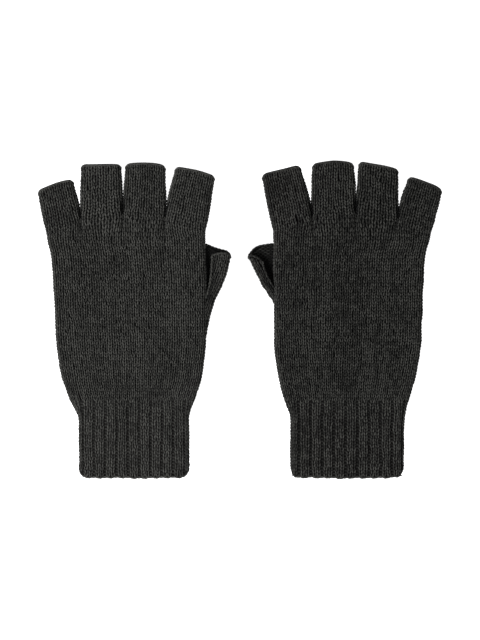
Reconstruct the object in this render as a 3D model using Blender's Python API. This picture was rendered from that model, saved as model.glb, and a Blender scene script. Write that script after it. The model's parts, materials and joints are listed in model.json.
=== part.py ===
"""A pair of fingerless knitted gloves, laid flat side by side with their backs up.

The frame has its origin on the table under the middle of the pair. +Y runs from the
cuffs to the fingertips, +X to the right-hand glove and +Z up from the table.
Each glove is drawn in its own frame: origin at the middle of the cuff's lower edge,
+Y to the fingertips and the thumb on the +X side. The right-hand glove mirrors X.
Every knitted piece is a flattened tube with a real opening through it.
"""

import math

import bmesh
import bpy

MM = 0.001

# Driving dimensions of the knitted fabric, in millimetres.
THICK = 8.0  # a tube lying flat, back layer plus palm layer and the air between
WALL = 1.8  # one layer of fabric
GAP = 0.35  # air between neighbouring pieces
EDGE = 1.8  # height of a bound-off or cast-on edge
RIB_DEPTH = 0.7  # how far a purl groove of the cuff lies below its ribs
RIB_PITCH = 7.1  # from one rib of the cuff to the next
GROOVE_SHARE = 0.16  # how far a groove reaches each way, as a share of the rib pitch
ARC_STEPS = 6  # flat facets round each side of a tube
CUFF_TOP = 52.0  # where the ribbing changes to plain knitting
CUFF_STRAIGHT = 40.0  # the ribbing is parallel up to here, then widens
JOIN_WIDTH = 1.7  # knitted web between two finger sleeves
JOIN_LENGTH = 5.0
JOIN_THICK = THICK - 1.0  # a web lies a little below both layers of fabric
JOIN_ROUNDING = 1 / 3  # rounding of a web's edges, as a share of its shortest side
THUMB_ROUND = 4  # rings that close the lower end of the thumb pocket
THUMB_SPARE = 0.5  # how much wider the pocket's low end is than its rounded side
THUMB_EDGE_GAP = 4 * GAP  # the thumb's slanting mouth needs more air below its edge
THUMB_WAY_REACH = 4 * WALL  # length of the cut that goes through both side walls
THUMB_WAY_MARGIN = THICK / 4  # how far that cut stays below the thumb's mouth
SLEEVE_FACETS = 3  # flat facets across a sleeve
SMOOTH_ANGLE = 40  # edges that turn by more than this, in degrees, stay sharp
HALF = THICK / 2
KNUCKLE = HALF + GAP  # from the hand's rim to a sleeve's hinge axis

# Each glove as it lies: where its own frame sits, its side, its outline and its sleeves.
# Outlines are (x, y) points from the cuff up. Sleeves run from the middle of the hinge
# axis to the middle of the mouth, with a width at each end.
GLOVES = {
    "left": {
        "side": 1,
        "place": (-70.5, -104.5),
        "cuff_half": 36.0,
        "outer": [(-42.0, 52), (-47.8, 70), (-51.2, 95), (-53.0, 130), (-54.5, 150), (-58.2, 164)],
        "thumb_side": [(39.5, 52), (44.4, 70), (46.2, 90), (46.4, 112), (46.4, 154), (45.4, 163)],
        "sleeves": {
            "little": {"base": (-46.9, 171.5), "tip": (-51.8, 192.9), "widths": (21.6, 23.6)},
            "ring": {"base": (-21.4, 177.5), "tip": (-21.7, 207.4), "widths": (24.6, 25.8)},
            "middle": {"base": (6.7, 179.0), "tip": (7.8, 208.6), "widths": (24.6, 25.4)},
            "index": {"base": (33.6, 172.5), "tip": (40.2, 201.0), "widths": (24.2, 26.0)},
        },
        "thumb": {"low": 112.0, "tip": (64.3, 146.5), "back_rim": 154.0, "front_rim": 124.0},
    },
    "right": {
        "side": -1,
        "place": (70.5, -104.5),
        "cuff_half": 37.0,
        "outer": [(-40.4, 52), (-45.4, 70), (-48.8, 95), (-49.8, 130), (-51.2, 150), (-55.6, 164)],
        "thumb_side": [(41.0, 52), (44.8, 70), (46.6, 90), (46.6, 112), (46.8, 154), (47.2, 163)],
        "sleeves": {
            "little": {"base": (-44.7, 171.0), "tip": (-51.4, 194.1), "widths": (21.4, 23.4)},
            "ring": {"base": (-19.6, 178.0), "tip": (-20.8, 207.0), "widths": (24.4, 24.8)},
            "middle": {"base": (8.9, 179.0), "tip": (9.2, 209.6), "widths": (25.0, 26.4)},
            "index": {"base": (36.2, 172.5), "tip": (43.2, 201.6), "widths": (24.4, 25.2)},
        },
        "thumb": {"low": 116.0, "tip": (65.0, 147.2), "back_rim": 154.0, "front_rim": 126.0},
    },
}
FINGERS = ["little", "ring", "middle", "index"]


def clear_scene():
    for old in list(bpy.data.objects):
        bpy.data.objects.remove(old, do_unlink=True)


def wool(name, colour, roughness):
    """A knitted wool material with its own name."""
    material = bpy.data.materials.new(name)
    material.use_nodes = True
    shader = material.node_tree.nodes["Principled BSDF"]
    shader.inputs["Base Color"].default_value = (*colour, 1.0)
    shader.inputs["Roughness"].default_value = roughness
    shader.inputs["Metallic"].default_value = 0.0
    return material


def lerp(a, b, t):
    return a + (b - a) * t


def along(points, y):
    """The x of a line of (x, y) points at height y, carried on past its ends."""
    pairs = list(zip(points, points[1:]))
    for (xa, ya), (xb, yb) in pairs:
        if y <= yb:
            return lerp(xa, xb, (y - ya) / (yb - ya))
    return lerp(xa, xb, (y - ya) / (yb - ya))


def height_at(line, x):
    """The y of a line of (x, y) points ordered by x, carried on past its ends."""
    return along([(y, x) for x, y in line], x)


def section(left, right, stops, inset, grooves=()):
    """(x, z) points once round a flattened tube: underside, right, top, left.

    stops are the shares of the flat part where points lie; grooves lists the stops
    that lie in a purl groove. An inset of WALL gives the inner face of the fabric,
    which has no grooves.
    """
    half = HALF - inset
    start, run = left + HALF, right - left - THICK
    dips = [RIB_DEPTH if i in grooves and inset == 0.0 else 0.0 for i in range(len(stops))]
    flat = [(start + run * stop, dip) for stop, dip in zip(stops, dips)]
    turn = [math.pi * k / ARC_STEPS for k in range(1, ARC_STEPS)]
    points = [(x, dip - half) for x, dip in flat]
    points += [(start + run + half * math.sin(a), -half * math.cos(a)) for a in turn]
    points += [(x, half - dip) for x, dip in reversed(flat)]
    points += [(start - half * math.sin(a), half * math.cos(a)) for a in turn]
    return points


def even_stops(count):
    return [i / count for i in range(count + 1)]


def knitted_piece(name, parent, loop_at, levels, side, material, pocket=False):
    """A closed solid, one layer of fabric thick, between an outer and an inner face.

    loop_at(level, inset) gives a loop of (x, y, z) points in millimetres. A pocket is
    closed at its first level, and any other piece is open at both ends.
    """
    bm = bmesh.new()
    outer = [loop_at(level, 0.0) for level in levels]
    inner = [loop_at(level, WALL) for level in reversed(levels)]
    rings = [
        [bm.verts.new((side * x * MM, y * MM, z * MM)) for x, y, z in loop]
        for loop in outer + inner
    ]
    if pocket:
        bm.faces.new(rings[0])
        bm.faces.new(reversed(rings[-1]))
    else:
        rings.append(rings[0])
    for low, high in zip(rings, rings[1:]):
        for i in range(len(low)):
            bm.faces.new((low[i], low[i - 1], high[i - 1], high[i]))
    if side < 0:
        bmesh.ops.reverse_faces(bm, faces=bm.faces)
    mesh = bpy.data.meshes.new(name)
    bm.to_mesh(mesh)
    bm.free()
    mesh.shade_smooth()
    mesh.set_sharp_from_angle(angle=math.radians(SMOOTH_ANGLE))
    return add_object(name, mesh, parent, material)


def add_object(name, mesh, parent, material):
    piece = bpy.data.objects.new(name, mesh)
    bpy.context.scene.collection.objects.link(piece)
    piece.parent = parent
    mesh.materials.append(material)
    return piece


def add_empty(name, parent, location, turn=0.0):
    empty = bpy.data.objects.new(name, None)
    bpy.context.scene.collection.objects.link(empty)
    empty.parent = parent
    empty.location = [value * MM for value in location]
    empty.rotation_euler = (0.0, 0.0, turn)
    return empty


def cut_through(piece, cutter):
    cut = piece.modifiers.new("thumb opening", "BOOLEAN")
    cut.operation = "DIFFERENCE"
    cut.object = cutter


def cuff_loop(glove, y, inset):
    """The ribbed section of the cuff at height y: ribs stand proud between purl grooves."""
    half = glove["cuff_half"]
    if y <= CUFF_STRAIGHT:
        left, right = -half, half
    else:
        share = (y - CUFF_STRAIGHT) / (CUFF_TOP - CUFF_STRAIGHT)
        left = lerp(-half, glove["outer"][0][0], share)
        right = lerp(half, glove["thumb_side"][0][0], share)
    ribs = round(2 * (half - HALF) / RIB_PITCH)
    shares = [0.0, 0.5 - GROOVE_SHARE, 0.5 - GROOVE_SHARE / 2, 0.5 + GROOVE_SHARE / 2, 0.5 + GROOVE_SHARE]
    stops = [(rib + share) / ribs for rib in range(ribs) for share in shares] + [1.0]
    grooves = {5 * rib + k for rib in range(ribs) for k in (2, 3)}
    return [(x, y, z + HALF) for x, z in section(left, right, stops, inset, grooves)]


def make_cuff(hand, glove, parent, material):
    """The ribbed cuff and the cast-on edge that starts it."""
    levels = {
        f"{hand}_cuff_cast_on_edge": (0.0, EDGE),
        f"{hand}_cuff": (EDGE + GAP, CUFF_STRAIGHT, CUFF_TOP - GAP),
    }

    def loop_at(y, inset):
        return cuff_loop(glove, y, inset)

    for name, heights in levels.items():
        knitted_piece(name, parent, loop_at, heights, glove["side"], material)


def sleeve_line(sleeve):
    """A sleeve's length, and its unit vector from hinge to mouth."""
    dx = sleeve["tip"][0] - sleeve["base"][0]
    dy = sleeve["tip"][1] - sleeve["base"][1]
    length = math.hypot(dx, dy)
    return length, (dx / length, dy / length)


def hand_rim(glove):
    """The hand's upper rim: two points behind each sleeve's hinge axis, little to index."""
    rim = []
    for finger in FINGERS:
        sleeve = glove["sleeves"][finger]
        _, (ux, uy) = sleeve_line(sleeve)
        x = sleeve["base"][0] - ux * KNUCKLE
        y = sleeve["base"][1] - uy * KNUCKLE
        reach = sleeve["widths"][0] / 2
        rim += [(x - uy * reach, y + ux * reach), (x + uy * reach, y - ux * reach)]
    return rim


def make_hand(hand, glove, parent, material):
    """The plain knitted hand, open at the wrist, along the knuckles and at the thumb."""
    rim = hand_rim(glove)
    left_top, right_top = glove["outer"][-1], glove["thumb_side"][-1]
    flat = right_top[0] - left_top[0] - THICK
    inner_rim = [x for x, _ in rim if HALF < x - left_top[0] < HALF + flat]
    stops = [0.0] + [(x - left_top[0] - HALF) / flat for x in inner_rim] + [1.0]
    levels = [point[1] for point in glove["outer"]]
    low, high = CUFF_TOP, levels[-1]

    def loop_at(y, inset):
        share = (y - low) / (high - low)
        left, right = along(glove["outer"], y), along(glove["thumb_side"], y)
        loop = []
        for x, z in section(left, right, stops, inset):
            top_x = lerp(left_top[0], right_top[0], (x - left) / (right - left))
            loop.append((x, lerp(low, height_at(rim, top_x), share), z + HALF))
        return loop

    return knitted_piece(f"{hand}_hand", parent, loop_at, levels, glove["side"], material)


def sleeve_loop(length, widths, y, inset):
    """A loop of a finger sleeve; at the hinge, y = 0, its end is rounded about the axis."""
    half_width = lerp(*widths, y / length) / 2
    loop = []
    for x, z in section(-half_width, half_width, even_stops(SLEEVE_FACETS), inset):
        back = math.sqrt(max(0.0, HALF**2 - z**2)) if y == 0.0 else 0.0
        loop.append((x, y - back, z))
    return loop


def make_finger(hand, finger, glove, parent, material):
    """One finger sleeve and its bound-off edge, both turning about the knuckle."""
    sleeve = glove["sleeves"][finger]
    length, (ux, uy) = sleeve_line(sleeve)
    side = glove["side"]
    knuckle = add_empty(
        f"{hand}_{finger}_knuckle",
        parent,
        (side * sleeve["base"][0], sleeve["base"][1], HALF),
        side * math.atan2(-ux, uy),
    )
    levels = {
        f"{hand}_{finger}_sleeve": (0.0, length - EDGE - GAP),
        f"{hand}_{finger}_bound_off_edge": (length - EDGE, length),
    }

    def loop_at(y, inset):
        return sleeve_loop(length, sleeve["widths"], y, inset)

    for name, heights in levels.items():
        knitted_piece(name, knuckle, loop_at, heights, side, material)


def thumb_axis_x(glove):
    """The thumb turns about the line where its rounded side meets the hand's side."""
    return along(glove["thumb_side"], glove["thumb"]["low"]) + GAP + HALF


def thumb_loop(glove, level, inset):
    """A loop of the thumb pocket in its own frame: x from the axis, y from its low end.

    level is a share from the closed low end to the mouth, and how far the loop has opened
    from the middle of that low end. The palm layer reaches further than the back layer,
    so the mouth faces up and inward.
    """
    share, opened = level
    thumb = glove["thumb"]
    reach = thumb["tip"][0] - thumb_axis_x(glove)
    bottom, corner = thumb["low"] + HALF, thumb["tip"][1]
    middle = (thumb["back_rim"] + thumb["front_rim"]) / 2
    spread = (thumb["back_rim"] - thumb["front_rim"]) / 2
    drop = (HALF - inset) * math.sqrt(1.0 - opened**2)
    loop = []
    for x, z in section(-HALF, lerp(HALF + THUMB_SPARE, reach, share), even_stops(SLEEVE_FACETS), inset):
        across = min(1.0, max(0.0, x / reach))
        rim = lerp(middle, corner, across) - spread * (1.0 - across) * z / (HALF - inset)
        y = lerp(bottom, rim, share)
        loop.append((x * opened, y - drop - thumb["low"], z * opened))
    return loop


def make_thumb(hand, glove, parent, material):
    """The thumb pocket and its bound-off edge, turning about the hand's side."""
    side, low = glove["side"], glove["thumb"]["low"]
    hinge = add_empty(f"{hand}_thumb_hinge", parent, (side * thumb_axis_x(glove), low, HALF))
    height = glove["thumb"]["tip"][1] - low - HALF
    mouth = 1.0 - EDGE / height
    tube_end = mouth - THUMB_EDGE_GAP / height
    opening = [math.sin(math.pi / 2 * k / THUMB_ROUND) for k in range(1, THUMB_ROUND)]
    levels = [(0.0, opened) for opened in opening] + [(0.0, 1.0), (0.5, 1.0), (tube_end, 1.0)]

    def loop_at(level, inset):
        return thumb_loop(glove, level, inset)

    pocket = knitted_piece(f"{hand}_thumb_sleeve", hinge, loop_at, levels, side, material, pocket=True)
    levels = [(mouth, 1.0), (1.0, 1.0)]
    knitted_piece(f"{hand}_thumb_bound_off_edge", hinge, loop_at, levels, side, material)
    return pocket


def box_mesh(name, size):
    mesh = bpy.data.meshes.new(name)
    bm = bmesh.new()
    bmesh.ops.create_cube(bm, size=1.0)
    bmesh.ops.scale(bm, vec=[value * MM for value in size], verts=bm.verts)
    bm.to_mesh(mesh)
    bm.free()
    return mesh


def make_thumb_opening(hand, glove, parent, pieces, material):
    """Cuts the way from the hand into the thumb through both side walls."""
    thumb = glove["thumb"]
    bottom, top = thumb["low"] + HALF, thumb["front_rim"] - THUMB_WAY_MARGIN
    mesh = box_mesh(f"{hand}_thumb_way", (THUMB_WAY_REACH, top - bottom, THICK - 2 * WALL))
    cutter = add_object(f"{hand}_thumb_way", mesh, parent, material)
    side_x = along(glove["thumb_side"], bottom)
    cutter.location = (glove["side"] * side_x * MM, (bottom + top) / 2 * MM, HALF * MM)
    cutter.hide_render = True
    cutter.display_type = "WIRE"
    for piece in pieces:
        cut_through(piece, cutter)


def make_join(name, parent, place, size, turn, material):
    """A small web of stitches picked up where two sleeves part."""
    join = add_object(name, box_mesh(name, size), parent, material)
    join.location = [value * MM for value in place]
    join.rotation_euler = (0.0, 0.0, turn)
    rounding = join.modifiers.new("rounded corners", "BEVEL")
    rounding.width = min(size) * MM * JOIN_ROUNDING
    rounding.segments = 2


def make_joins(hand, glove, parent, material):
    """The webs between the four finger sleeves and above the thumb."""
    side = glove["side"]
    for first, second in zip(FINGERS, FINGERS[1:]):
        one, two = glove["sleeves"][first], glove["sleeves"][second]
        _, (ax, ay) = sleeve_line(one)
        _, (bx, by) = sleeve_line(two)
        reach = one["widths"][0] / 2, two["widths"][0] / 2
        left = one["base"][0] + ay * reach[0], one["base"][1] - ax * reach[0]
        right = two["base"][0] - by * reach[1], two["base"][1] + bx * reach[1]
        place = (side * (left[0] + right[0]) / 2, (left[1] + right[1]) / 2, HALF)
        turn = side * math.atan2(-(ax + bx), ay + by)
        size = (JOIN_WIDTH, JOIN_LENGTH, JOIN_THICK)
        make_join(f"{hand}_crotch_{first}_{second}", parent, place, size, turn, material)
    thumb = glove["thumb"]
    size = (THICK / 2, EDGE * 2, JOIN_THICK)
    x = along(glove["thumb_side"], thumb["back_rim"]) + GAP + size[0] / 2
    y = thumb["back_rim"] + 2 * GAP + size[1] / 2
    make_join(f"{hand}_crotch_thumb", parent, (side * x, y, HALF), size, 0.0, material)


def make_glove(hand, glove):
    charcoal = wool(f"{hand}_charcoal_wool", (0.027, 0.027, 0.025), 0.95)
    edging = wool(f"{hand}_edge_wool", (0.030, 0.030, 0.028), 0.95)
    place = add_empty(f"{hand}_glove", None, (*glove["place"], 0.0))
    make_cuff(hand, glove, place, charcoal)
    body = make_hand(hand, glove, place, charcoal)
    for finger in FINGERS:
        make_finger(hand, finger, glove, place, charcoal)
    pocket = make_thumb(hand, glove, place, charcoal)
    make_thumb_opening(hand, glove, place, [body, pocket], charcoal)
    make_joins(hand, glove, place, edging)


def main():
    clear_scene()
    for hand, glove in GLOVES.items():
        make_glove(hand, glove)


main()
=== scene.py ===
"""The knitted look of a pair of fingerless gloves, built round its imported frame.

Every fabric piece is a sheet in stitch coordinates: u counts wales round the tube and
v counts courses from the cuff to the fingertips. A sheet has a solid layer of fabric, and
on it each stitch is laid as two legs of yarn. Lengths are in millimetres in each glove's
own frame: x across with the thumb at +x, y from the cuff to the fingertips, z up.
"""

import json
import math

import bpy
import numpy as np
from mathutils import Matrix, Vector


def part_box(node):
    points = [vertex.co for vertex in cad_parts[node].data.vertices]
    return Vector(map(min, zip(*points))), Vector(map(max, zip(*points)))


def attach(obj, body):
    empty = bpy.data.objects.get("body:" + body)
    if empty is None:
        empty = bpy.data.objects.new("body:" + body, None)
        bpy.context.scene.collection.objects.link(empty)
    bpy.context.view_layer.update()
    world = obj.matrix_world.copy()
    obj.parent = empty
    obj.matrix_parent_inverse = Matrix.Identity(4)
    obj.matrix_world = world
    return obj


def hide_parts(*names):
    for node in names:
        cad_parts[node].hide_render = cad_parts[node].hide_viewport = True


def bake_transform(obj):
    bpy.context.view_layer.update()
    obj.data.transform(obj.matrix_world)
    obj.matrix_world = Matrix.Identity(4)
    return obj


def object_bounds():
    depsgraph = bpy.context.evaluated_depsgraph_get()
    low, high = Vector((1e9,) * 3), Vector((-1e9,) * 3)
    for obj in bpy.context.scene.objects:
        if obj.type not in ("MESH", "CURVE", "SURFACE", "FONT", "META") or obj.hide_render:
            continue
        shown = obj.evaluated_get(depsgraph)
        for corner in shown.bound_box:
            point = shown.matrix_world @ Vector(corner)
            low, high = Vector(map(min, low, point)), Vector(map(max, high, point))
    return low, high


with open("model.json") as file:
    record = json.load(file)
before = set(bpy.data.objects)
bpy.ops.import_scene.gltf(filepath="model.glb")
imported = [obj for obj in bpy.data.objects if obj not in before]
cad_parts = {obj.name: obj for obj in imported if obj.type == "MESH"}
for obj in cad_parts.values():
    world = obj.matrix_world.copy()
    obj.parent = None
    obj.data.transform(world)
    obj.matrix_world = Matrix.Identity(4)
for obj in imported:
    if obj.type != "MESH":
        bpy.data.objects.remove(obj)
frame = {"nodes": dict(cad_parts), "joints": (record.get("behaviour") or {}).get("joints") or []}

CAD_LOW, CAD_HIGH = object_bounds()
MM = 0.001
JOINTS = {joint["name"]: joint for joint in frame["joints"]}
FINGERS = ("little", "ring", "middle", "index")
random = np.random.default_rng(41)

# Knit gauge.
WALE = 3.05
COURSE = 2.05
HAND_WALES = 34  # wales on one face of the hand
FINGER_WALES = (8, 8, 9, 9)  # how the hand's wales are shared out, little finger to index
BACKING = 0.55  # how deep the solid layer lies below the nominal surface
FABRIC = 1.4  # thickness of that layer
LEG_WIDE = 0.60  # half the width of a leg of yarn
LEG_RISE = 0.95  # how high a leg stands above the solid layer
MIDDLE = 4.0  # height of the plane between the palm layer and the back layer
HALF = 3.75  # from that plane to the nominal surface of the hand
CROWN = 0.4  # how much a face bulges in its middle
KNUCKLE = 4.35  # from the hand's rim to a sleeve's hinge axis
CUFF_TOP = 52.0  # where the ribbing ends and the plain knitting starts
RIBS = 22  # ribs round the cuff
RIB = 7.1  # from one purl groove to the next
RIB_SINK = 0.65  # depth of the purl grooves
RIB_SHADE, GROOVE_SHADE = 1.03, 0.6  # painted shade: how bright the ribs' yarn is painted, and the darker bars in the grooves
GROOVE_BACK = 0.2  # painted shade: brightness of the layer behind them, painted dark
GROOVE_WIDE, RIB_ROUND = 0.10, 0.12  # width of a groove in ribs, and how round a rib's top is
GROOVE_DEPTHS = (0.35, 1.0)  # grooves differ in depth between these shares
GROOVE_FADES = (2.5, 10.0)  # and run out at the top over this many courses
GROOVE_WAVE, GROOVE_BEAT = 0.28, 0.55  # how much the depth wavers, and how fast, up a groove
RIB_LEGS = 0.205  # from a rib's middle to its two wales, in ribs
BAR_REACH = 0.11  # half the length of a bar in a groove, in ribs

# Where the soft fabric lies, measured from the frame's solids.
SIDE_OVER = 0.6  # both sides of the hand and cuff bulge past the frame
THUMB_OVER = 1.2  # the hand's side also reaches over the thumb
THUMB_OVER_Y = (45.0, 95.0)  # that grows from nothing between these heights
DRAWN_IN = {"left": 1.1, "right": 0.0}  # but the side is drawn in beside the thumb's mouth
DRAWN_IN_Y, DRAWN_IN_REACH = 147.0, 12.0  # most at this height, and this far up and down
WRIST_Y = 38.0  # the cuff is straight up to here
SIDE_HEIGHTS = (53.0, 70.0, 95.0, 130.0, 150.0, 158.0)  # where the hand's sides are read
RIM_Y = 162.0  # where the rim's two ends are read
RIM_RISE = 2.0  # from there up to the rim itself
CORNER_DROP = 3.7  # from the joins between the sleeves down to the hand's rim
TOUCHING = (0.25, 0.3, 0.27)  # share of each gap, little finger first, where sleeves touch
OVERLAP = 0.15  # how far touching sleeves press into each other
MOUTH_OVER = 0.4  # a mouth is wider than the frame's by this at each end
MOUTH_MORE = {"little": 1.0, "ring": 0.0, "middle": -1.5, "index": 2.0}  # and lies further out
BOWS = {"little": 1.2, "ring": 0.5, "middle": 1.8, "index": 1.0}  # how far mouths bulge
PALM_BOW = 0.5  # the palm's side of a mouth reaches this much further
SLEEVE_BULGE = 0.6  # outer sides of the little and index sleeves curve out
CREASE = 0.9  # painted shade: how much darker stitches are painted where two sleeves press together
CREASE_FADE = 3  # courses over which that fades out
THUMB_SHADE = (0.03, 0.6)  # painted shade: brightness of the purl side deep in the thumb, and at its mouth
THUMB_DEEP_Y = {"left": 147.0, "right": 138.0}  # it is darkest up to here
THUMB_LIGHTEN = 12.0  # and reaches its full brightness this much further up
HOLLOW_SHADE = 0.85  # painted shade: how much darker the front is painted beside the hollow
HOLLOW_KEEP, HOLLOW_FADE = 3.0, 9.0  # full over this width, then gone over this one
HOLLOW_GROW = 8.0  # and it comes in over this height, from the hollow's low end up
MOUTH_ROUND = 1.6  # how far a mouth's corners are rounded off
ROUND_SHARE = 0.12  # share of a mouth's width at each end that the rounding takes
MOUTH_INSET = 0.9  # the solid layer ends this far short of a mouth
CUFF_ROUND = 7.0  # radius of the cuff's lower corners
LAST_STITCH, FIRST_STITCH = -0.9, 0.3  # courses from a rim to the stitches that meet it
LAYER_LAP = 0.2  # courses by which the cuff's solid layer runs on under the hand's
CUFF_BOW = 0.8  # how far the cuff's lower edge sags in the middle
SCALLOP = 0.35  # the scallops along that edge go this far up and down
CAST_ON_INSET = 1.1  # the solid layer ends this far above it

THUMB_WALES = 14  # round the thumb's tube
THUMB_WIDE = 23.0  # width of that tube laid flat, partly inside the hand
THUMB_FOLD = 0.17  # share of a face's wales that go round the outer fold
THUMB_MIDDLE, THUMB_HALF = 3.4, 2.9  # height of its middle plane, and from there to a face
THUMB_TOP = 158.0  # its sheet reaches up to here
THUMB_BEND = 4.0  # reach to each side of its hinge, passed on to finish, which does not use it
TUCK_X = 44.5  # its hidden base lies here, inside the hand's side
TUCK_THIN = 0.3  # share of its thickness that is left there
TUCK_REACH = 4.5  # it swells to its full thickness over this width
TUCK_MARGIN = 2.0  # it has a base only where its outer fold is this far past the base
THUMB_INSET = 0.3  # courses from its rims down to the solid layer's ends

# The parts of a fabric's texture map, along one of its axes.
YARN_MAP = 0.8  # the yarn takes this much of it
LAYER_MAP = (0.82, 1.0)  # and the solid layers and edges take this stretch

# A leg of yarn: where its points lie along and across it, and how it is shaped.
ALONG = np.array([0.0, 0.3, 0.7, 1.0])
ACROSS = np.array([-1.0, -0.62, 0.0, 0.62, 1.0])
LEG_CLOSE, LEG_SQUARE = 0.97, 2.2  # how far its ends narrow, and how square its section is
LEG_END_WIDE, LEG_END_TALL = 0.35, 0.12  # its ends keep at least these shares of its size
LEG_WIDTHS, LEG_HEIGHTS = (0.9, 1.08), (0.85, 1.1)  # how much legs differ from each other
LEG_SUNK = 0.1  # its outline lies this far inside the solid layer
PLY_TURNS, PLY_SLANT = 2.6, 0.8  # how often the plies cross it, and their slant

# A stitch: where each of its two legs starts and ends, in wales and courses.
FOOT, HEAD = (0.13, -0.30), (0.375, 1.05)
STITCH_WOBBLE, LEG_WOBBLE = 0.05, 0.035  # how unevenly stitches, and the tops of legs, lie
STITCH_TONE, WALE_TONE, LEG_TONE = 0.16, 0.12, 0.3  # how much stitches, wales and legs differ
LEG_DIP = 0.3  # how much lower the top of a leg lies than its foot

# The purl side: bumps lie across the wales, in two rows a course.
PURL_ROWS = ((0.0, 0.3), (0.5, 0.8))  # from a stitch to the middles of its bumps
PURL_REACH = 0.46  # half the length of a bump, in wales
PURL_WIDE, PURL_RISE = 0.55, -0.6

# A bound-off or cast-on edge: a rounded rim with two rows of slanting links over it.
EDGE_STEP = 1.1  # spacing of the points along the rim
EDGE_SIDES = 8  # flats round the rim
EDGE_OUT, EDGE_SINK, EDGE_TALL = 0.15, 0.85, 1.05  # where its middle lies, and half its height
LINK_STEP = 0.8 * WALE  # spacing of the links
LINK_LONG = 1.25  # length of a link, in spacings
LINK_WIDE, LINK_RISE = 0.5, 0.8
LINK_ROWS = ((-0.45, 0.3, -0.15), (0.75, 0.2, -0.65))  # how far out each starts and ends, its base

FLOOR_Z, FLOOR_SIZE = -0.034, 60.0  # the table under the gloves, in metres
WORLD_LIGHT = 0.2  # the surroundings look white, and light the gloves by this much

# A join between two sleeves: strands from the palm layer to the back.
STRANDS, STRAND_STEP = 3, 0.9
STRAND_HALF, STRAND_THICK = 2.4, 0.6  # half a strand's height, and its radius
STRAND_SWAY = 0.5  # how far its ends lean to one side and its middle to the other
STRAND_SIDES = 8
THUMB_JOIN = (2.4, -3.0)  # from the upper end of the thumb's back rim to the join there

# The wool: how fine its patterns are, per metre, and how strongly each one shows.
FIBRE_NOISE, FLECK_NOISE, ROUGH_NOISE, PATCH_NOISE = 3500.0, 1400.0, 900.0, 60.0
FLECKS, PATCHES, TONES, PLIES = 1.5, 0.8, 0.75, 0.06
PALEST = 0.75  # the tone that has the palest fibres' colour
MIDDLING = 1.1  # share of the tint half way from the darkest to the palest
SHEEN, GLOSS = 0.12, 0.15
BUMP, BUMP_TALL = 0.5, 0.0002  # strength of the fibres' relief, and its height in metres

LAMPS = (  # each with its place, its power in watts and its size
    ("key", (-1.0, -0.6, 1.0), 30.0, 0.5),
    ("fill", (0.6, -0.3, 1.6), 6.0, 1.2),
)

# How the two gloves differ as they lie: turn of the ribs, and how much further the right
# end of a mouth reaches than its left end.
RIB_PHASE = {"left": 0.0, "right": -0.35}
MOUTH_TILT = {"left": {"little": 1.5}, "right": {"little": 2.0, "ring": 4.0}}

# Each thumb as a few points (x, y): its outer side, and its mouth, which runs up a hollow
# beside the hand, along the front rim to the tip, and back along the back rim.
THUMBS = {
    "left": {
        "outer": [(46.5, 84), (53, 115), (60, 130), (65, 148)],
        "hollow": [(44.5, 112), (50, 131), (51, 148)],
        "front_rim": [(51, 148), (58, 149.5), (63, 149), (65, 146.5)],
        "back_rim": [(65, 146.5), (63, 150), (55, 152), (44.5, 156)],
    },
    "right": {
        "outer": [(45.5, 98), (48, 113), (57, 128), (66, 148)],
        "hollow": [(44.5, 121), (53, 135), (56, 145)],
        "front_rim": [(56, 145), (60, 147.5), (64, 148), (66, 145.5)],
        "back_rim": [(66, 145.5), (64, 149.5), (58, 154), (44.5, 156)],
    },
}


def ease(share):
    """Rise from 0 to 1 without a corner at either end."""
    share = np.clip(share, 0, 1)
    return share * share * (3 - 2 * share)


def through(levels, values, at):
    """A curve through values at rising levels that never swings past them."""
    levels, values, at = (np.asarray(given, float) for given in (levels, values, at))
    column = (slice(None),) + (None,) * (values.ndim - 1)
    step = np.diff(levels)[column]
    secant = np.diff(values, axis=0) / step
    before, after = secant[:-1], secant[1:]
    heavy_before, heavy_after = step[:-1] + 2 * step[1:], 2 * step[:-1] + step[1:]
    same_way = before * after > 0
    blend = heavy_before * after + heavy_after * before
    mean = (heavy_before + heavy_after) * before * after / np.where(same_way, blend, 1.0)
    slopes = np.concatenate([secant[:1], np.where(same_way, mean, 0.0), secant[-1:]])
    k = np.clip(np.searchsorted(levels, at, side="right") - 1, 0, len(levels) - 2)
    inside = np.clip(at, levels[0], levels[-1])
    s = ((inside - levels[k])[column]) / step[k]
    curve = (
        (2 * s**3 - 3 * s**2 + 1) * values[k]
        + (s**3 - 2 * s**2 + s) * slopes[k] * step[k]
        + (3 * s**2 - 2 * s**3) * values[k + 1]
        + (s**3 - s**2) * slopes[k + 1] * step[k]
    )
    past = (at - inside)[column]
    return curve + past * np.where(past > 0, slopes[-1], slopes[0])


def tube_loop(u, wales, left, right, fold_wales=None, fold_reach=(0.0, 0.0)):
    """Points round a flattened tube from its left fold over the back, then under the palm.

    wales is the count on one face, left and right are the folds (x, y), fold_wales is how
    many wales go round a quarter turn of a fold, and fold_reach widens the two folds.
    """
    left, right = np.asarray(left, float), np.asarray(right, float)
    across = right - left
    width = math.hypot(*across)
    fold = min(HALF, width / 2.2)
    quarter = math.pi / 4 * (fold + HALF)
    share = quarter / (2 * quarter + width - 2 * fold) if fold_wales is None else fold_wales / wales
    back = u <= wales
    t = np.where(back, u / wales, 2 - u / wales)
    turn = np.clip(np.minimum(t, 1 - t) / share, 0, 1) * math.pi / 2
    near, far = (fold + reach for reach in fold_reach)
    flat = near + np.clip((t - share) / (1 - 2 * share), 0, 1) * (width - near - far)
    side = 1 - np.cos(turn)
    x = np.where(turn < math.pi / 2, np.where(t < 0.5, near * side, width - far * side), flat)
    z = HALF * np.sin(turn) + CROWN * np.sin(math.pi * np.clip(x / width, 0, 1)) ** 2
    points = left + (x / width)[:, None] * across
    return np.column_stack([points, MIDDLE + np.where(back, z, -z)])


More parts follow.
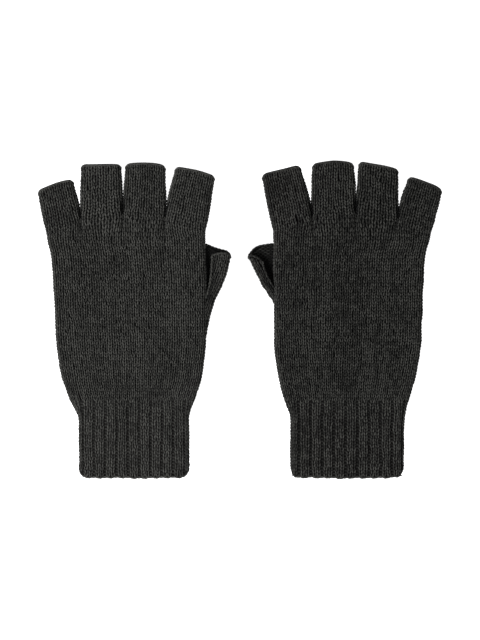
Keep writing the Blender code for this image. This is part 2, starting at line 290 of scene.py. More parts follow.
class Unevenness:
    """Slow wandering of the fabric, shared by every piece of one glove."""

    WAVES = 16
    DRIFT = (0.05, 0.05, 0.05)  # each wave's reach in x, y and z

    def __init__(self):
        length = random.uniform(9.0, 34.0, self.WAVES)
        heading = random.uniform(0, math.pi, self.WAVES)
        self.beat = 2 * math.pi / length * np.stack([np.cos(heading), np.sin(heading)])
        self.start = random.uniform(0, 2 * math.pi, self.WAVES)
        self.drift = random.normal(0, 1, (self.WAVES, 3)) * self.DRIFT

    def move(self, points):
        return points + np.sin(points[..., :2] @ self.beat + self.start) @ self.drift


class Sheet:
    """A knitted tube sampled on a fine grid of stitch coordinates."""

    PER_COURSE = 2
    MARGIN = 2  # spare courses past each end

    def __init__(self, surface, wales, courses, side, place, uneven, gauge=(WALE, COURSE), per_wale=4):
        self.wales, self.courses, self.side = wales, courses, side
        self.gauge, self.per_wale = np.array(gauge), per_wale
        u = np.linspace(0, wales, wales * per_wale + 1)
        self.rows = (courses + 2 * self.MARGIN) * self.PER_COURSE + 1
        v = np.linspace(-self.MARGIN, courses + self.MARGIN, self.rows)
        points = uneven.move(surface(u, v))
        wrapped = np.concatenate([points[-2:-1], points, points[1:2]])
        normal = np.cross(wrapped[2:] - wrapped[:-2], np.gradient(points, axis=1))
        normal /= np.maximum(np.linalg.norm(normal, axis=2, keepdims=True), 1e-9)
        mirror = np.array([side, 1.0, 1.0])
        self.points = points * mirror + np.array([place[0], place[1], 0.0])
        self.normal = normal * mirror

    def at(self, u, v, height):
        """World points, in metres, at stitch coordinates and a height above the surface."""
        fu = np.mod(u, self.wales) * self.per_wale
        fv = np.clip((v + self.MARGIN) * self.PER_COURSE, 0, self.rows - 1.001)
        i, j = np.minimum(fu.astype(int), self.wales * self.per_wale - 1), fv.astype(int)
        a, b = (fu - i)[..., None], (fv - j)[..., None]

        def mix(grid):
            low = grid[i, j] * (1 - a) + grid[i + 1, j] * a
            high = grid[i, j + 1] * (1 - a) + grid[i + 1, j + 1] * a
            return low * (1 - b) + high * b

        return (mix(self.points) + mix(self.normal) * np.asarray(height)[..., None]) * MM


class Fabric:
    """Gathers the quads of one piece, with some values for its material at each point."""

    # depth carries the painted shade: where it is low, the yarn is painted dark.
    VALUES = ("tone", "depth", "ply")

    def __init__(self):
        self.points, self.quads, self.maps, self.count = [], [], [], 0
        self.values = {label: [] for label in self.VALUES}

    def add(self, points, quads, uv, **values):
        self.points.append(points)
        self.quads.append(quads + self.count)
        self.maps.append(uv)
        for label in self.VALUES:
            self.values[label].append(np.broadcast_to(values.get(label, 0.0), len(points)))
        self.count += len(points)

    def build(self, name, material):
        points = np.concatenate(self.points).astype(np.float32)
        quads = np.concatenate(self.quads).astype(np.int32)
        mesh = bpy.data.meshes.new(name)
        mesh.vertices.add(len(points))
        mesh.vertices.foreach_set("co", points.ravel())
        mesh.loops.add(quads.size)
        mesh.loops.foreach_set("vertex_index", quads.ravel())
        mesh.polygons.add(len(quads))
        mesh.polygons.foreach_set("loop_start", np.arange(0, quads.size, 4, dtype=np.int32))
        mesh.update(calc_edges=True)
        for label, values in self.values.items():
            attribute = mesh.attributes.new(label, "FLOAT", "POINT")
            attribute.data.foreach_set("value", np.concatenate(values).astype(np.float32))
        uv = np.concatenate(self.maps).astype(np.float32)
        mesh.uv_layers.new(name="OFBake").data.foreach_set("uv", uv[quads.ravel()].ravel())
        mesh.shade_smooth()
        mesh.materials.append(material)
        made = bpy.data.objects.new(name, mesh)
        bpy.context.scene.collection.objects.link(made)
        return made


def grid_quads(rows, columns, flip):
    """Quads over a grid of rows x columns points, turned over if flip is true."""
    corner = (np.arange(rows - 1)[:, None] * columns + np.arange(columns - 1)[None]).ravel()
    quads = np.stack([corner + 1, corner + columns + 1, corner + columns, corner], 1)
    return quads[:, ::-1] if flip else quads


def add_layer(fabric, sheet, low=None, high=None, per_wale=1, start=0.0, depth=0.0):
    """The solid layer under the stitches, between two rims, each a function of u.

    It goes all the way round unless it has a start, where it is closed off. It is painted
    at brightness depth, near black by default, as painted shade between the stitches.
    """
    us = np.linspace(start, sheet.wales, int((sheet.wales - start) * per_wale) + 1)
    bottom = np.zeros(len(us)) if low is None else low(us)
    top = np.full(len(us), float(sheet.courses)) if high is None else high(us)
    rows = sheet.courses + 1
    share = np.linspace(0, 1, rows)
    share = np.concatenate([share, share[::-1], share[:1]])
    height = np.where(np.arange(len(share)) < rows, 0.0, -FABRIC) - BACKING
    height[-1] = -BACKING
    v = bottom[:, None] + (top - bottom)[:, None] * share[None]
    u = np.broadcast_to(us[:, None], v.shape)
    if start:
        u = np.minimum(u, sheet.wales - 1e-6)
    points = sheet.at(u.ravel(), v.ravel(), np.tile(height, len(us)))
    turn = np.tile(np.linspace(*LAYER_MAP, len(share)), len(us))
    uv = np.column_stack([turn, u.ravel() / sheet.wales])
    quads = [grid_quads(len(us), len(share), sheet.side > 0)]
    if start:
        j = np.arange(rows - 1)
        cap = np.stack([j, j + 1, 2 * rows - 2 - j, 2 * rows - 1 - j], 1)
        last = (len(us) - 1) * len(share)
        quads += [cap, cap[:, ::-1] + last] if sheet.side > 0 else [cap[:, ::-1], cap + last]
    fabric.add(points, np.concatenate(quads), uv, tone=0.5, depth=depth)


def add_yarn(
    fabric, sheet, start, end, wide=LEG_WIDE, rise=LEG_RISE, base=-BACKING, tone=None, dip=0.0, dark=1.0
):
    """Short bulging legs of yarn, one from each start (u, v) to each end (u, v).

    wide is half a leg's width, and rise its height over base, negative on the purl side. dip
    is how much lower a leg's end lies than its start. tone picks the fibres' shade, and dark
    is how bright the yarn is painted where it stands highest; towards a leg's edges and ends
    it is painted darker, as painted shade.
    """
    start, end = np.asarray(start, float), np.asarray(end, float)
    count = len(start)
    if count == 0:
        return
    tone = random.uniform(0, 1, count) if tone is None else np.broadcast_to(tone, count)
    run = (end - start) * sheet.gauge
    length = np.linalg.norm(run, axis=1, keepdims=True)
    sideways = np.column_stack([-run[:, 1], run[:, 0]]) / length / sheet.gauge
    swell = np.sqrt(1 - (2 * ALONG - 1) ** 2 * LEG_CLOSE)[None, :, None]
    bulge = np.sqrt(1 - np.abs(ACROSS) ** LEG_SQUARE * 0.999)[None, None, :]
    fat = wide * random.uniform(*LEG_WIDTHS, count)[:, None, None]
    s = ALONG[None, :, None]
    offset = ACROSS[None, None, :] * fat * (LEG_END_WIDE + (1 - LEG_END_WIDE) * swell)
    u, v = (
        start[:, k, None, None]
        + (end - start)[:, k, None, None] * s
        + sideways[:, k, None, None] * offset
        for k in (0, 1)
    )
    hill = LEG_END_TALL + (1 - LEG_END_TALL) * swell
    tall = rise * random.uniform(*LEG_HEIGHTS, count)[:, None, None]
    height = base - LEG_SUNK * np.sign(rise) + tall * hill * bulge - dip * (s - 0.5)
    points = sheet.at(u.ravel(), v.ravel(), np.broadcast_to(height, u.shape).ravel())
    each = len(ALONG) * len(ACROSS)
    inward = rise < 0
    cell = grid_quads(len(ALONG), len(ACROSS), (sheet.side > 0) != inward)
    quads = (cell[None] + np.arange(count)[:, None, None] * each).reshape(-1, 4)
    # Painted shade: depth falls off towards a leg's edges and ends, scaled by dark.
    brightness = np.reshape(np.broadcast_to(dark, count), (-1, 1, 1))
    depth = np.broadcast_to(hill * bulge, u.shape) * brightness
    ply = np.broadcast_to(s * PLY_TURNS + PLY_SLANT * ACROSS[None, None, :], u.shape)
    round_tube = np.mod(u.ravel(), sheet.wales) / sheet.wales
    up_tube = np.clip((v.ravel() + sheet.MARGIN) / (sheet.courses + 2 * sheet.MARGIN), 0, 1)
    uv = np.column_stack([YARN_MAP * up_tube, round_tube])
    fabric.add(points, quads, uv, tone=np.repeat(tone, each), depth=depth.ravel(), ply=ply.ravel())


def stitch_cells(wales, low, high):
    """The stitches between two rims, each a function of u, as (middle of wale, course)."""
    first = int(math.floor(float(np.min(low(np.arange(wales) + 0.5)))))
    last = int(math.ceil(float(np.max(high(np.arange(wales) + 0.5)))))
    i, j = np.meshgrid(np.arange(wales) + 0.5, np.arange(first, last), indexing="ij")
    cells = np.column_stack([i.ravel(), j.ravel()]).astype(float)
    inside = (cells[:, 1] >= low(cells[:, 0]) - 0.3) & (cells[:, 1] + 0.75 <= high(cells[:, 0]))
    return cells[inside]


def level(value):
    """A rim that stays on one course."""
    return lambda u: np.full(np.shape(u), float(value))


def meet_rim(cells, rim, gap, end):
    """Stretch each wale a little, so that its end stitch, max or min, lies gap past the rim."""
    met = cells.copy()
    for wale in np.unique(cells[:, 0]):
        column = cells[:, 0] == wale
        v = cells[column, 1]
        near = end(v)
        far = v.min() + v.max() - near
        met[column, 1] = far + (v - far) * (rim(np.array([wale]))[0] + gap - far) / (near - far)
    return met


def add_stockinette(fabric, sheet, cells, spread=1.0, dark=1.0):
    """Plain knitting: each stitch is a V of two legs that part towards the fingertips."""
    wobble = random.normal(0, STITCH_WOBBLE, cells.shape) * (spread, 1)
    tone = random.normal(0.5, STITCH_TONE, len(cells))
    tone = tone + random.normal(0, WALE_TONE, sheet.wales + 1)[cells[:, 0].astype(int)]
    for lean in (-1, 1):
        foot = cells + wobble + np.array([lean * FOOT[0] * spread, FOOT[1]])
        head = cells + wobble + np.array([lean * HEAD[0] * spread, HEAD[1]])
        head += random.normal(0, LEG_WOBBLE, cells.shape) * (spread, 1)
        leg_tone = np.clip(tone + random.normal(0, LEG_TONE, len(cells)), 0, 1)
        add_yarn(fabric, sheet, foot, head, tone=leg_tone, dip=LEG_DIP, dark=dark)


def add_purl(fabric, sheet, cells, dark=1.0):
    """The inside of the knitting: rows of bumps lying across the wales."""
    reach = np.array([PURL_REACH, 0.0])
    base = -BACKING - FABRIC
    for row in PURL_ROWS:
        middle = cells + np.array(row)
        add_yarn(fabric, sheet, middle - reach, middle + reach, PURL_WIDE, PURL_RISE, base, dark=dark)


def closed_rim(sheet, rim):
    """Points (u, v) all round a rim that is a function of u."""
    u = np.linspace(0, sheet.wales, sheet.wales * 24 + 1)
    return np.column_stack([u, rim(u)])


def spaced(sheet, line, step):
    """Points spaced evenly along a line of (u, v), and the way to its left at each."""
    reach = np.concatenate([[0], np.cumsum(np.linalg.norm(np.diff(line, axis=0) * sheet.gauge, axis=1))])
    count = max(8, int(round(reach[-1] / step)))
    marks = np.linspace(0, reach[-1], count + 1)
    path = np.column_stack([np.interp(marks, reach, line[:, k]) for k in (0, 1)])
    ahead = np.gradient(path, axis=0) * sheet.gauge
    out = np.column_stack([-ahead[:, 1], ahead[:, 0]])
    return path, out / np.linalg.norm(out, axis=1, keepdims=True) / sheet.gauge


def add_edge(fabric, sheet, line, outward=1, radius=0.85, depth=0.8):
    """A rounded edge of yarn along a rim, with a chain of slanting links laid over it."""
    closed = abs(line[-1, 0] - line[0, 0] - sheet.wales) < 1e-6
    path, out = spaced(sheet, line, EDGE_STEP)
    turn = np.linspace(0, 2 * math.pi, EDGE_SIDES + 1)
    size = np.ones(len(path))
    if closed:
        out[0] = out[-1] = out[0] + out[-1]
        out[0] = out[-1] = out[0] / 2
    else:
        size[[0, -1]] = 0.02
    reach = EDGE_OUT + radius * size[:, None] * np.cos(turn)
    height = -EDGE_SINK + EDGE_TALL * size[:, None] * np.sin(turn)
    where = (path[:, None] + outward * out[:, None] * reach[..., None]).reshape(-1, 2)
    points = sheet.at(where[:, 0], where[:, 1], height.ravel())
    around, along = np.linspace(*LAYER_MAP, len(turn)), np.linspace(0, 1, len(path))
    uv = np.column_stack([np.tile(around, len(path)), np.repeat(along, len(turn))])
    flip = (sheet.side > 0) != (outward > 0)
    # Painted shade: the rim is painted at brightness depth.
    fabric.add(points, grid_quads(len(path), len(turn), flip), uv, tone=0.5, depth=depth)
    path, out = spaced(sheet, line, LINK_STEP)
    ahead = np.diff(path, axis=0)
    path, out = path[:-1], out[:-1] * outward
    if not closed:
        path, out, ahead = path[1:-1], out[1:-1], ahead[1:-1]
    for near, far, base in LINK_ROWS:
        start, end = path + out * near, path + ahead * LINK_LONG + out * far
        add_yarn(fabric, sheet, start, end, LINK_WIDE, LINK_RISE, base)


def curve(points, count=16):
    """A smooth line through a few points, as many points closer together."""
    points = np.asarray(points, float)
    reach = np.concatenate([[0], np.cumsum(np.linalg.norm(np.diff(points, axis=0), axis=1))])
    return through(reach, points, np.linspace(0, reach[-1], count))


def glove_place(hand):
    """A glove's own origin in the frame, in millimetres: middle of its cuff's lower edge."""
    low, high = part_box(f"{hand}_cuff_cast_on_edge")
    return (low.x + high.x) / 2 / MM, low.y / MM


class Glove:
    """One glove of the frame, read in the glove's own millimetres, and its materials."""

    def __init__(self, hand, wool, edging):
        self.hand, self.wool, self.edging = hand, wool, edging
        self.side = 1 if hand == "left" else -1
        self.place = glove_place(hand)
        self.uneven = Unevenness()
        self.side_heights, self.sides = self.read_sides()
        self.corners = self.read_corners()

    def sheet(self, surface, wales, courses, **options):
        return Sheet(surface, wales, courses, self.side, self.place, self.uneven, **options)

    def own(self, point):
        """A point or direction (x, y) of the frame, in metres, in the glove's own frame."""
        x, y = np.asarray(point, float)[..., 0] / MM, np.asarray(point, float)[..., 1] / MM
        return np.stack([self.side * (x - self.place[0]), y - self.place[1]], axis=-1)

    def corners_of(self, node):
        """The corners (x, y) of one of the frame's solids."""
        solid = frame["nodes"][f"{self.hand}_{node}"]
        return self.own([solid.matrix_world @ corner.co for corner in solid.data.vertices])

    def across(self, node, y):
        """How far a solid of the frame reaches to the left and to the right at height y."""
        corners = self.corners_of(node)
        edges = frame["nodes"][f"{self.hand}_{node}"].data.edges
        ends = corners[np.array([edge.vertices[:] for edge in edges])]
        low, high = ends[:, 0], ends[:, 1]
        cut = (low[:, 1] - y) * (high[:, 1] - y) < 0
        low, high = low[cut], high[cut]
        x = low[:, 0] + (y - low[:, 1]) / (high[:, 1] - low[:, 1]) * (high[:, 0] - low[:, 0])
        return x.min(), x.max()

    def read_sides(self):
        """Heights up the glove, and the fabric's two sides (left, right) at each."""
        wrist = self.corners_of("cuff_cast_on_edge")[:, 0]
        sides = [(wrist.min(), wrist.max())] * 2
        sides += [self.across("hand", y) for y in SIDE_HEIGHTS]
        heights = np.array((0.0, WRIST_Y) + SIDE_HEIGHTS)
        return heights, self.soften(heights, np.array(sides))

    def soften(self, heights, sides):
        """The frame's two sides, moved out to where the soft fabric lies."""
        beside_mouth = np.exp(-(((heights - DRAWN_IN_Y) / DRAWN_IN_REACH) ** 2))
        low, high = THUMB_OVER_Y
        over_thumb = THUMB_OVER * ease((heights - low) / (high - low))
        over_thumb = over_thumb - DRAWN_IN[self.hand] * beside_mouth
        return sides + np.stack([np.full(np.shape(heights), -SIDE_OVER), SIDE_OVER + over_thumb], axis=-1)

    def read_corners(self):
        """Where the hand's rim ends and where two sleeves meet, little finger first."""
        ends = self.soften(np.array([RIM_Y]), np.array([self.across("hand", RIM_Y)]))[0]
        corners = [(ends[0], RIM_Y + RIM_RISE)]
        for first, second in zip(FINGERS, FINGERS[1:]):
            join = self.corners_of(f"crotch_{first}_{second}")
            corners.append(((join[:, 0].min() + join[:, 0].max()) / 2, join[:, 1].min() - CORNER_DROP))
        return [np.array(corner) for corner in corners + [(ends[1], RIM_Y + RIM_RISE)]]

    def folds(self, y):
        """Where the two sides of the hand or cuff are at height y."""
        left, right = through(self.side_heights, self.sides, np.array([float(y)]))[0]
        return (left, y), (right, y)

    def mouth(self, finger):
        """The two ends of a sleeve's mouth."""
        joint = JOINTS[f"{self.hand}_{finger}_knuckle"]
        pivot = self.own(joint["pos_m"])
        across = np.array([abs(joint["axis"][0]), self.side * joint["axis"][1] * np.sign(joint["axis"][0])])
        ahead = np.array([-across[1], across[0]])
        rim = self.corners_of(f"{finger}_bound_off_edge") - pivot
        side, reach = rim @ across, (rim @ ahead).max() + MOUTH_MORE[finger]
        tilt = MOUTH_TILT[self.hand].get(finger, 0.0) / 2
        left = pivot + across * (side.min() - MOUTH_OVER) + ahead * (reach - tilt)
        right = pivot + across * (side.max() + MOUTH_OVER) + ahead * (reach + tilt)
        return left, right

    def parting(self, k):
        """Where sleeves k and k + 1 stop touching, between their corner and their mouths."""
        corner = self.corners[k + 1]
        gap = (self.mouth(FINGERS[k])[1] + self.mouth(FINGERS[k + 1])[0]) / 2
        return corner + TOUCHING[k] * (gap - corner)

    def finish(self, fabric, name, node, slot, bodies):
        """Make a piece in its slot's material, hide its solid, and parent it to its body if it rides on
        one; otherwise its bodies are not used and it stays in place.
        """
        material = self.edging if slot == "wool_edging" else self.wool
        made = fabric.build(f"{self.hand}_{name}", material)
        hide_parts(f"{self.hand}_{node}")
        if len(bodies) == 1:
            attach(made, f"{self.hand}_{bodies[0]}")
        else:
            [f"{self.hand}_{body}" for body in bodies[:2]]
            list(bodies[2:])
            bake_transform(made)


def stack(levels, loops):
    """A surface that runs through loops at given values of v."""
    return lambda u, v: np.swapaxes(through(levels, np.array([loop(u) for loop in loops]), v), 0, 1)


def rim_loop(u, corners):
    """The hand's rim: one tube for each sleeve's base, pinched where they meet."""
    points = np.zeros((len(u), 3))
    first = 0
    for k, count in enumerate(FINGER_WALES):
        left, right = corners[k], corners[k + 1]
        back = (u >= first) & (u <= first + count)
        points[back] = tube_loop(u[back] - first, count, left, right)
        under = 2 * HAND_WALES - u
        palm = (under >= first) & (under <= first + count) & (u > HAND_WALES)
        points[palm] = tube_loop(2 * count - (under[palm] - first), count, left, right)
        first += count
    return points


def make_hand(glove):
    """The plain knitted hand, from the ribbing to the corners between the sleeves."""
    levels = (CUFF_TOP, 58, 66, 76, 90, 108, 128, 146, 158)
    rim_height = np.mean([corner[1] for corner in glove.corners])
    courses = int(round((rim_height - CUFF_TOP) / COURSE))
    rows = (np.array(levels + (rim_height,)) - CUFF_TOP) / (rim_height - CUFF_TOP) * courses
    loops = [lambda u, y=y: tube_loop(u, HAND_WALES, *glove.folds(y)) for y in levels]
    loops.append(lambda u: rim_loop(u, glove.corners))
    sheet = glove.sheet(stack(rows, loops), 2 * HAND_WALES, courses)
    fabric = Fabric()
    add_layer(fabric, sheet)
    add_stockinette(fabric, sheet, stitch_cells(sheet.wales, level(0), level(courses)))
    glove.finish(fabric, "knitted_hand", "hand", "plain_knit_wool", ["glove"])


def sleeve_waist(glove, k, left, right, tips):
    """The two sides of sleeve k part of the way up, where it leaves its neighbours."""
    bulge = np.array([SLEEVE_BULGE, 0.0])
    if k > 0:
        near = glove.parting(k - 1) - (OVERLAP, 0.0)
    else:
        near = left + (tips[0] - left) * TOUCHING[0] - bulge
    if k < len(FINGERS) - 1:
        far = glove.parting(k) + (OVERLAP, 0.0)
    else:
        far = right + (tips[1] - right) * TOUCHING[-1] + bulge
    return near, far


def painted_crease_shade(cells, wales, k, touching):
    """Painted shade on sleeve k: stitches pressed against a neighbour are painted dark."""
    u, v = cells.T
    across = np.where(u <= wales, u, 2 * wales - u)
    beside = np.zeros(len(cells), bool)
    if k > 0:
        beside |= across < 1
    if k < len(FINGERS) - 1:
        beside |= across > wales - 1
    return 1 - CREASE * beside * (1 - ease((v - touching + 1) / CREASE_FADE))


def make_finger(glove, finger):
    """A finger's sleeve from the hand's rim to its mouth, with its chain edge."""
    k = FINGERS.index(finger)
    own = FINGER_WALES[k]
    wales = own + 1
    left, right = glove.corners[k : k + 2]
    tips = glove.mouth(finger)
    steps = [sleeve_waist(glove, k, left, right, tips), tips]
    middles = [(left + right) / 2] + [(np.array(a) + np.array(b)) / 2 for a, b in steps]
    reach = np.cumsum([0.0] + [math.dist(a, b) for a, b in zip(middles, middles[1:])])
    courses = int(round(reach[-1] / COURSE))

    def base(u):
        under = 2 * wales - u
        inner = np.where(u <= wales, np.clip(u - 0.5, 0, own), 2 * own - np.clip(under - 0.5, 0, own))
        return tube_loop(inner, own, left, right)

    loops = [base] + [lambda u, a=a, b=b: tube_loop(u, wales, a, b) for a, b in steps]
    sheet = glove.sheet(stack(reach / COURSE, loops), 2 * wales, courses)

    def mouth(u):
        back = u <= wales
        t = np.where(back, u / wales, 2 - u / wales)
        bow = np.where(back, BOWS[finger], BOWS[finger] + PALM_BOW)
        bow = bow * np.sin(math.pi * np.clip(t, 0, 1))
        rounding = MOUTH_ROUND * (1 - ease(np.minimum(t, 1 - t) / ROUND_SHARE))
        return reach[-1] / COURSE + (bow - rounding - MOUTH_INSET) / COURSE

    joint = JOINTS[f"{glove.hand}_{finger}_knuckle"]
    pivot, axis = np.array(joint["pos_m"]), np.array(joint["axis"])
    ahead = np.cross(axis, (0.0, 0.0, 1.0))
    ahead *= np.sign(ahead[1]) * KNUCKLE * MM
    fabric = Fabric()
    add_layer(fabric, sheet, high=mouth)
    cells = meet_rim(stitch_cells(sheet.wales, level(0), mouth), mouth, LAST_STITCH, max)
    add_stockinette(fabric, sheet, cells, dark=painted_crease_shade(cells, wales, k, reach[1] / COURSE))
    add_purl(fabric, sheet, stitch_cells(sheet.wales, level(courses - 6), mouth))
    bend = ["glove", finger, pivot - ahead, pivot + ahead]
    glove.finish(fabric, f"{finger}_knitted_sleeve", f"{finger}_sleeve", "plain_knit_wool", bend)
    edge = Fabric()
    add_edge(edge, sheet, closed_rim(sheet, mouth))
    glove.finish(edge, f"{finger}_chain_edge", f"{finger}_bound_off_edge", "wool_edging", [finger])


def make_thumb(glove):
    """The thumb's sleeve comes out from under the hand's side, and its mouth gapes upward.

    Its wales run beside its outer fold. Its base lies hidden inside the hand's side fold.
    """
    shape = THUMBS[glove.hand]
    outer_x, outer_y = zip(*shape["outer"])
    hollow, front, back = (curve(shape[part]) for part in ("hollow", "front_rim", "back_rim"))
    face = THUMB_WALES / 2
    low_y = outer_y[0] + 1.0
    courses = int(round((THUMB_TOP - low_y) / COURSE))

    def fold_x(y):
        return through(outer_y, outer_x, np.minimum(y, outer_y[-1]))

    def loop(u, y):
        t = np.where(u <= face, u / face, 2 - u / face)
        turn = np.clip((1 - t) / THUMB_FOLD, 0, 1) * math.pi / 2
        x = fold_x([y])[0] - (1 - t) * THUMB_WIDE + 2.0 * (1 - np.cos(turn)) * (1 - t)
        squeeze = TUCK_THIN + (1 - TUCK_THIN) * ease((x - TUCK_X) / TUCK_REACH)
        thick = THUMB_HALF * np.sin(turn) * squeeze
        z = THUMB_MIDDLE + np.where(u <= face, thick, -thick)
        return np.column_stack([x, np.full(len(u), y), z])

    levels = np.linspace(low_y, THUMB_TOP, 12)
    loops = [lambda u, y=y: loop(u, y) for y in levels]
    sheet = glove.sheet(stack((levels - low_y) / COURSE, loops), THUMB_WALES, courses)

    def stitches(points, behind=False):
        """Stitch coordinates of points (x, y) on the front or the back of the tube."""
        x, y = np.array(points, float).T
        t = np.clip(1 - (fold_x(y) - x) / THUMB_WIDE, 0, 1)
        return np.column_stack([(2 - t if behind else t) * face, (y - low_y) / COURSE])

    base_y = np.arange(low_y, 144.0, 6.0)
    base = np.column_stack([np.full(len(base_y), TUCK_X), base_y])
    base = base[fold_x(base_y) > TUCK_X + TUCK_MARGIN]
    front_low = np.concatenate([stitches(hollow)[::-1], stitches(base)[::-1]])
    front_low = front_low[np.argsort(front_low[:, 0])]
    back_low = stitches(base, behind=True)
    front_rim, back_rim = stitches(front), stitches(back, behind=True)

    def low(u):
        front = np.interp(u, front_low[:, 0], front_low[:, 1])
        return np.where(u <= face, front, np.interp(u, back_low[:, 0], back_low[:, 1]))

    def high(u):
        front = np.interp(u, front_rim[:, 0], front_rim[:, 1])
        behind = np.interp(u, back_rim[:, 0], back_rim[:, 1])
        return np.where(u <= face, front, behind) - THUMB_INSET

    joint = JOINTS[f"{glove.hand}_thumb_hinge"]
    pivot = np.array(joint["pos_m"])
    reach = np.array([glove.side * THUMB_BEND * MM, 0.0, 0.0])
    bend = ["glove", "thumb", pivot - reach, pivot + reach]
    first = front_rim[0, 0]
    fabric = Fabric()
    add_layer(fabric, sheet, low, high, per_wale=4, start=first)
    cells = stitch_cells(THUMB_WALES, low, high)
    cells = cells[cells[:, 0] >= first]
    y = low_y + cells[:, 1] * COURSE
    x = fold_x(y) - (1 - cells[:, 0] / face) * THUMB_WIDE
    # Painted shade: the front is painted darker beside the hollow, next to the hand.
    beside_hand = 1 - ease((x - TUCK_X - HOLLOW_KEEP) / HOLLOW_FADE)
    painted_hollow_shade = beside_hand * ease((y - shape["hollow"][0][1]) / HOLLOW_GROW)
    painted_hollow_shade = painted_hollow_shade * (cells[:, 0] < face)
    add_stockinette(fabric, sheet, cells, dark=1 - painted_hollow_shade * HOLLOW_SHADE)
    # Painted shade: the purl side deep in the thumb is painted near black, lighter towards its mouth.
    deep, open_end = THUMB_SHADE
    inside = deep + (open_end - deep) * ease((y - THUMB_DEEP_Y[glove.hand]) / THUMB_LIGHTEN)
    add_purl(fabric, sheet, cells, dark=inside)
    glove.finish(fabric, "thumb_knitted_sleeve", "thumb_sleeve", "plain_knit_wool", bend)
    edge = Fabric()
    rim = np.concatenate([stitches(hollow), front_rim[1:], back_rim[1:]]) - (0, THUMB_INSET)
    # Painted shade: this rim is painted darker than the others.
    add_edge(edge, sheet, rim, radius=0.6, depth=0.45)
    glove.finish(edge, "thumb_chain_edge", "thumb_bound_off_edge", "wool_edging", bend)


def make_cuff(glove):
    """Two-by-two ribbing: pairs of knit wales stand proud between sunken purl grooves."""
    face = RIBS // 2
    courses = int(round(CUFF_TOP / COURSE))
    levels = (0.0, 8.0, 20.0, 30.0, 36.0, 40.0, 44.0, 48.0, CUFF_TOP)
    depth = random.uniform(*GROOVE_DEPTHS, RIBS)
    beat = random.uniform(0, 2 * math.pi, RIBS)
    fading = random.uniform(*GROOVE_FADES, RIBS)
    phase = RIB_PHASE[glove.hand]

    def ring(u, y):
        left, right = glove.folds(y)
        straight_left, straight_right = glove.folds(min(y, WRIST_Y))
        flare = (straight_left[0] - left[0], right[0] - straight_right[0])
        return tube_loop(u, face, left, right, fold_wales=1.1, fold_reach=flare)

    plain = stack(np.array(levels) / COURSE, [lambda u, y=y: ring(u, y) for y in levels])

    def from_groove(u):
        """Signed distance to the nearest groove, in ribs, and which groove it is."""
        nearest = np.round(u - phase)
        return u - phase - nearest, np.mod(nearest.astype(int), RIBS)

    def surface(u, v):
        points = plain(u, v)
        around = np.concatenate([points[-2:-1], points, points[1:2]])
        normal = np.cross(around[2:] - around[:-2], np.gradient(points, axis=1))
        normal /= np.linalg.norm(normal, axis=2, keepdims=True)
        off, groove = from_groove(u)
        fold = np.mod(groove + phase, face)
        fold = ease(np.minimum(fold, face - fold) / 0.8)
        strength = (depth[groove] * (0.25 + 0.75 * fold))[:, None]
        strength = strength + GROOVE_WAVE * np.sin(v[None] * GROOVE_BEAT + beat[groove][:, None])
        shape = np.exp(-((off / GROOVE_WIDE) ** 2)) + RIB_ROUND * np.cos(2 * math.pi * off) + RIB_ROUND
        fade = ease((courses + 0.5 - v[None]) / fading[groove][:, None])
        return points - normal * (RIB_SINK * shape[:, None] * strength * fade)[..., None]

    sheet = glove.sheet(surface, RIBS, courses, gauge=(RIB, COURSE), per_wale=20)

    def low(u):
        t = np.where(u <= face, u / face, 2 - u / face)
        (left, _), (right, _) = glove.folds(0.0)
        x = (right - left) * np.clip((t - 0.03) / 0.94, 0, 1)
        from_side = np.clip(np.minimum(x, right - left - x), 0, CUFF_ROUND)
        corner = CUFF_ROUND - np.sqrt(CUFF_ROUND**2 - (CUFF_ROUND - from_side) ** 2)
        sag = CUFF_BOW * (2 * x / (right - left) - 1) ** 2
        off, _ = from_groove(u)
        scallop = SCALLOP * np.cos(2 * math.pi * off)
        return (corner + sag + scallop + CAST_ON_INSET) / COURSE

    fabric = Fabric()
    high = level(CUFF_TOP / COURSE + LAYER_LAP)
    add_layer(fabric, sheet, low, high, per_wale=10, depth=GROOVE_BACK)
    cells = stitch_cells(RIBS, low, level(courses)) + (0.0, CUFF_TOP / COURSE - courses)
    cells[:, 0] = np.mod(cells[:, 0] + phase, RIBS)
    cells = meet_rim(cells, low, FIRST_STITCH, min)
    for wale in (-RIB_LEGS, RIB_LEGS):
        shifted = cells + np.array([wale, random.uniform(0, 0.3)])
        add_stockinette(fabric, sheet, shifted, spread=WALE / RIB, dark=RIB_SHADE)
    grooves = cells - np.array([0.5, 0.0])
    bar = np.array([BAR_REACH, 0.0])
    # The bars in the grooves are painted darker, as painted shade.
    add_yarn(fabric, sheet, grooves - bar, grooves + bar, 0.6, 0.6, -BACKING, dark=GROOVE_SHADE)
    add_purl(fabric, sheet, stitch_cells(RIBS, low, level(5)))
    glove.finish(fabric, "ribbed_cuff", "cuff", "ribbed_wool", ["glove"])
    edge = Fabric()
    add_edge(edge, sheet, closed_rim(sheet, low), outward=-1, radius=0.7)
    glove.finish(edge, "cast_on_edge", "cuff_cast_on_edge", "wool_edging", ["glove"])


